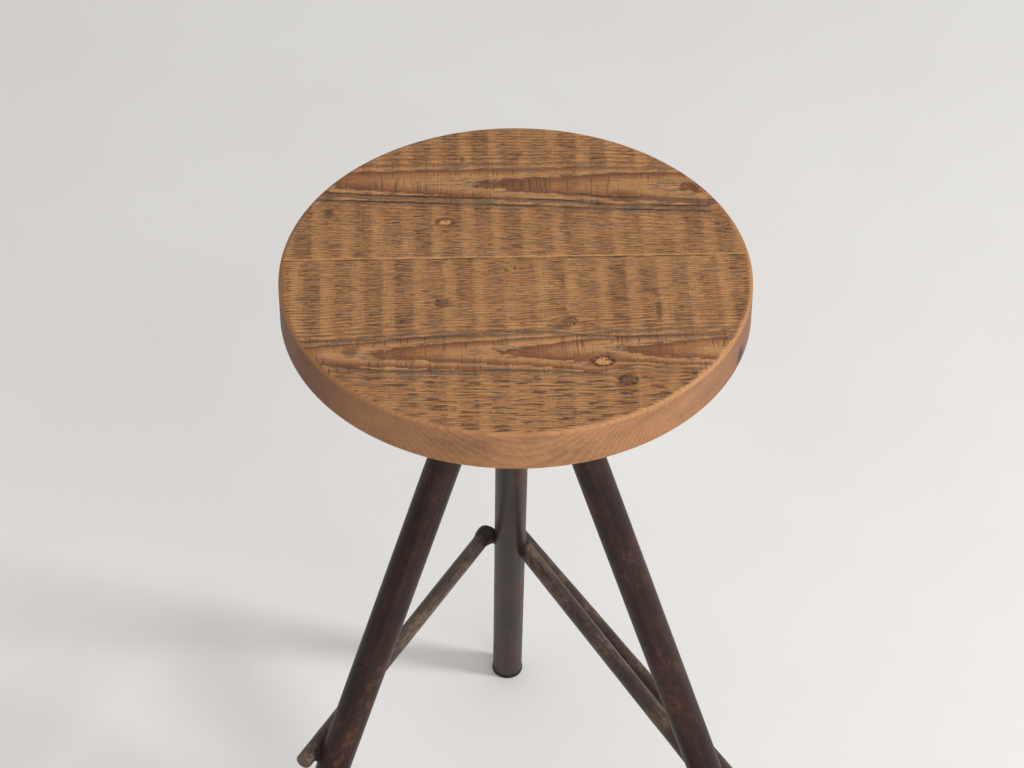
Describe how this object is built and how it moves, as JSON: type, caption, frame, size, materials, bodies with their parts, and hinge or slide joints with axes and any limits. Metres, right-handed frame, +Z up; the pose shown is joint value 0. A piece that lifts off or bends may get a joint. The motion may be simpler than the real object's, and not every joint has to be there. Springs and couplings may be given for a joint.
{
  "type": "three leg stool",
  "caption": "Tall round stool: glued plank seat on splayed round steel tube legs, with round steel footrest rods welded across the legs and an inner brace bar on one side.",
  "frame": {"origin": "floor point straight under the seat's axis", "axes": "+Z up through the seat's axis, +Y towards the back leg, +X towards the sitter's right"},
  "size_m": [0.5058, 0.465, 0.72],
  "materials": {
    "seat_wood": "weathered sawn softwood with an oiled matt finish, sanded rim",
    "leg_steel": "dark oxidised steel tube, satin",
    "rod_steel": "dark oxidised steel bar with faint rust",
    "weld_metal": "rough weld bead, dark with rust",
    "plate_steel": "dark oxidised steel plate",
    "screw_steel": "dulled zinc plate",
    "plug_plastic": "black moulded plastic"
  },
  "bodies": {
    "root": {"seat_board_front": "seat_wood", "seat_board_rear": "seat_wood", "mounting_plate": "plate_steel", "seat_screws": "screw_steel", "leg_back": "leg_steel", "leg_left": "leg_steel", "leg_right": "leg_steel", "footrest_left": "rod_steel", "footrest_right": "rod_steel", "footrest_front": "rod_steel", "brace_bar": "rod_steel", "weld_leg_cluster": "weld_metal", "weld_left_at_back": "weld_metal", "weld_left_at_left": "weld_metal", "weld_right_at_back": "weld_metal", "weld_right_at_right": "weld_metal", "weld_front_at_left": "weld_metal", "weld_front_at_right": "weld_metal", "weld_brace_at_back": "weld_metal", "weld_brace_at_right": "weld_metal", "foot_plug_back": "plug_plastic", "foot_plug_left": "plug_plastic", "foot_plug_right": "plug_plastic"}
  },
  "joints": []
}
